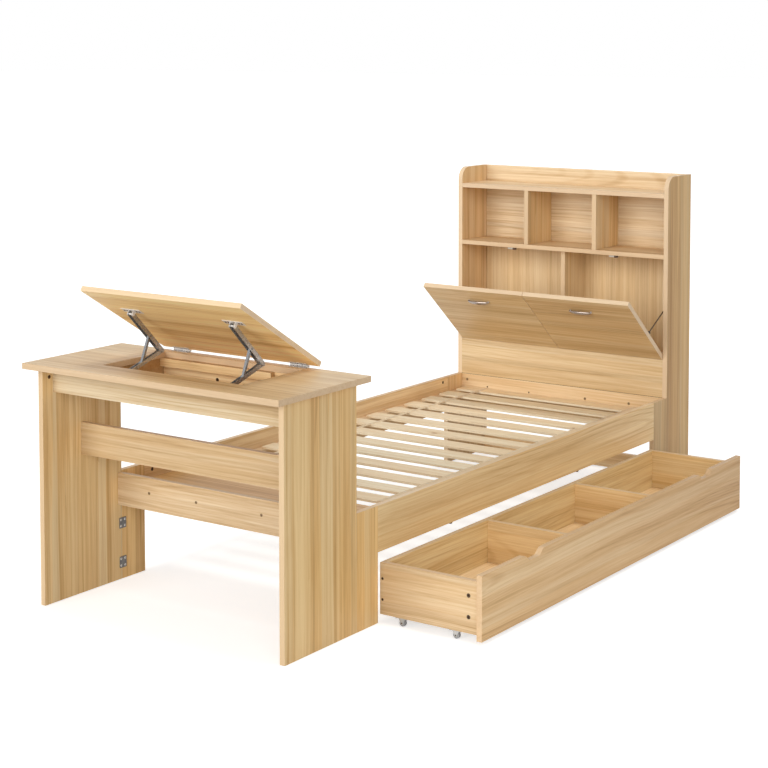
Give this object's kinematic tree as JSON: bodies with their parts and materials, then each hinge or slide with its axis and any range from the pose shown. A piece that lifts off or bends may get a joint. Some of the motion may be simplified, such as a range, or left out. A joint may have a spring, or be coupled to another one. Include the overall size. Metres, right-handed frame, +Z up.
{
  "type": "storage bed",
  "caption": "Single bed with a lift-top desk across its foot, a bookcase headboard with flap doors and an under-bed drawer on casters.",
  "frame": {"origin": "on the floor, in the middle of the footprint with the drawer pulled out as in the picture; the bed's centre line is at X = -0.170", "axes": "+Z up, +Y from the desk at the foot towards the headboard, +X to the side where the drawer comes out"},
  "size_m": [1.324, 2.587, 1.197],
  "materials": {
    "oak_board": "satin",
    "pine_slat": "matte",
    "stay_steel": "satin",
    "bright_metal": "polished",
    "dark_steel": "satin",
    "caster_grey": "matte"
  },
  "bodies": {
    "bed": {"desk_top": "oak_board", "desk_side_left": "oak_board", "desk_side_right": "oak_board", "desk_apron": "oak_board", "desk_compartment": "oak_board", "modesty_board": "oak_board", "foot_rail": "oak_board", "lid_hinge_left": "bright_metal", "lid_hinge_right": "bright_metal", "stay_base_bracket_left": "stay_steel", "stay_base_bracket_right": "stay_steel", "foot_leg_left": "oak_board", "foot_leg_right": "oak_board", "head_leg_left": "oak_board", "head_leg_right": "oak_board", "side_rail_left": "oak_board", "side_rail_right": "oak_board", "head_rail": "oak_board", "slat_base": "pine_slat", "headboard_side_left": "oak_board", "headboard_side_right": "oak_board", "top_shelf": "oak_board", "middle_shelf": "oak_board", "bay_floor": "oak_board", "upper_divider_left": "oak_board", "upper_divider_right": "oak_board", "bay_divider": "oak_board", "lower_panel": "oak_board", "back_panel": "oak_board", "back_stretcher": "oak_board"},
    "lid": {"desk_lid": "oak_board", "stay_lid_bracket_left": "stay_steel", "stay_lid_bracket_right": "stay_steel"},
    "upper_arm_left": {"stay_upper_arm_left": "stay_steel"},
    "upper_arm_right": {"stay_upper_arm_right": "stay_steel"},
    "lower_arm_left": {"stay_lower_arm_left": "stay_steel"},
    "lower_arm_right": {"stay_lower_arm_right": "stay_steel"},
    "link_left": {"stay_link_left": "stay_steel"},
    "link_right": {"stay_link_right": "stay_steel"},
    "door_left": {"flap_door_left": "oak_board", "door_handle_left": "bright_metal"},
    "door_right": {"flap_door_right": "oak_board", "door_handle_right": "bright_metal"},
    "door_rod_left": {"door_stay_left": "dark_steel"},
    "door_rod_right": {"door_stay_right": "dark_steel"},
    "drawer": {"drawer_front": "oak_board", "drawer_back": "oak_board", "drawer_end_foot": "oak_board", "drawer_end_head": "oak_board", "drawer_bottom": "oak_board", "drawer_divider_foot": "oak_board", "drawer_divider_head": "oak_board", "caster_fork_back_foot": "caster_grey", "caster_fork_front_foot": "caster_grey", "caster_fork_back_head": "caster_grey", "caster_fork_front_head": "caster_grey"},
    "wheel_back_foot": {"caster_wheel_back_foot": "caster_grey"},
    "wheel_front_foot": {"caster_wheel_front_foot": "caster_grey"},
    "wheel_back_head": {"caster_wheel_back_head": "caster_grey"},
    "wheel_front_head": {"caster_wheel_front_head": "caster_grey"}
  },
  "joints": [
    {"name": "lid_hinge", "type": "hinge", "parent": "bed", "child": "lid", "pos_m": [-0.17, -0.8635, 0.7538], "axis": [-1, 0, 0], "range_deg": [-30.9, 0]},
    {"name": "stay_lid_pivot_left", "type": "hinge", "parent": "lid", "child": "upper_arm_left", "pos_m": [-0.367, -1.13145, 0.90391], "axis": [-1, 0, 0], "range_deg": [-5, 0]},
    {"name": "stay_lid_pivot_right", "type": "hinge", "parent": "lid", "child": "upper_arm_right", "pos_m": [0.027, -1.13145, 0.90391], "axis": [-1, 0, 0], "range_deg": [-5, 0]},
    {"name": "stay_knee_left", "type": "hinge", "parent": "upper_arm_left", "child": "lower_arm_left", "pos_m": [-0.367, -1.00147, 0.77508], "axis": [-1, 0, 0], "range_deg": [0, 55]},
    {"name": "stay_knee_right", "type": "hinge", "parent": "upper_arm_right", "child": "lower_arm_right", "pos_m": [0.027, -1.00147, 0.77508], "axis": [-1, 0, 0], "range_deg": [0, 55]},
    {"name": "stay_link_pivot_left", "type": "hinge", "parent": "upper_arm_left", "child": "link_left", "pos_m": [-0.367, -1.05403, 0.82717], "axis": [-1, 0, 0], "range_deg": [0, 98.7]},
    {"name": "stay_link_pivot_right", "type": "hinge", "parent": "upper_arm_right", "child": "link_right", "pos_m": [0.027, -1.05403, 0.82717], "axis": [-1, 0, 0], "range_deg": [0, 98.7]},
    {"name": "door_hinge_left", "type": "hinge", "parent": "bed", "child": "door_left", "pos_m": [-0.3965, 1.0995, 0.498], "axis": [1, 0, 0], "range_deg": [-49.8, 0]},
    {"name": "door_hinge_right", "type": "hinge", "parent": "bed", "child": "door_right", "pos_m": [0.0565, 1.0995, 0.498], "axis": [1, 0, 0], "range_deg": [-49.8, 0]},
    {"name": "door_rod_pivot_left", "type": "hinge", "parent": "door_left", "child": "door_rod_left", "pos_m": [-0.617, 0.99584, 0.61702], "axis": [1, 0, 0], "range_deg": [0, 98.4]},
    {"name": "door_rod_pivot_right", "type": "hinge", "parent": "door_right", "child": "door_rod_right", "pos_m": [0.277, 0.99584, 0.61702], "axis": [1, 0, 0], "range_deg": [0, 98.4]},
    {"name": "drawer_slide", "type": "slide", "parent": "bed", "child": "drawer", "axis": [1, 0, 0], "range_m": [-0.36, 0]},
    {"name": "wheel_roll_back_foot", "type": "hinge", "parent": "drawer", "child": "wheel_back_foot", "pos_m": [0.379, -0.7835, 0.0105], "axis": [0, 1, 0], "continuous": true},
    {"name": "wheel_roll_front_foot", "type": "hinge", "parent": "drawer", "child": "wheel_front_foot", "pos_m": [0.567, -0.7835, 0.0105], "axis": [0, 1, 0], "continuous": true},
    {"name": "wheel_roll_back_head", "type": "hinge", "parent": "drawer", "child": "wheel_back_head", "pos_m": [0.379, 0.9565, 0.0105], "axis": [0, 1, 0], "continuous": true},
    {"name": "wheel_roll_front_head", "type": "hinge", "parent": "drawer", "child": "wheel_front_head", "pos_m": [0.567, 0.9565, 0.0105], "axis": [0, 1, 0], "continuous": true}
  ],
  "couplings": [
    {"joint": "stay_lid_pivot_left", "follows": "lid_hinge", "ratio": 0.16013},
    {"joint": "stay_lid_pivot_right", "follows": "lid_hinge", "ratio": 0.16013},
    {"joint": "stay_knee_left", "follows": "lid_hinge", "ratio": -1.7777},
    {"joint": "stay_knee_right", "follows": "lid_hinge", "ratio": -1.7777},
    {"joint": "stay_link_pivot_left", "follows": "lid_hinge", "ratio": -3.1923},
    {"joint": "stay_link_pivot_right", "follows": "lid_hinge", "ratio": -3.1923},
    {"joint": "door_rod_pivot_left", "follows": "door_hinge_left", "ratio": -1.9734},
    {"joint": "door_rod_pivot_right", "follows": "door_hinge_right", "ratio": -1.9734}
  ]
}
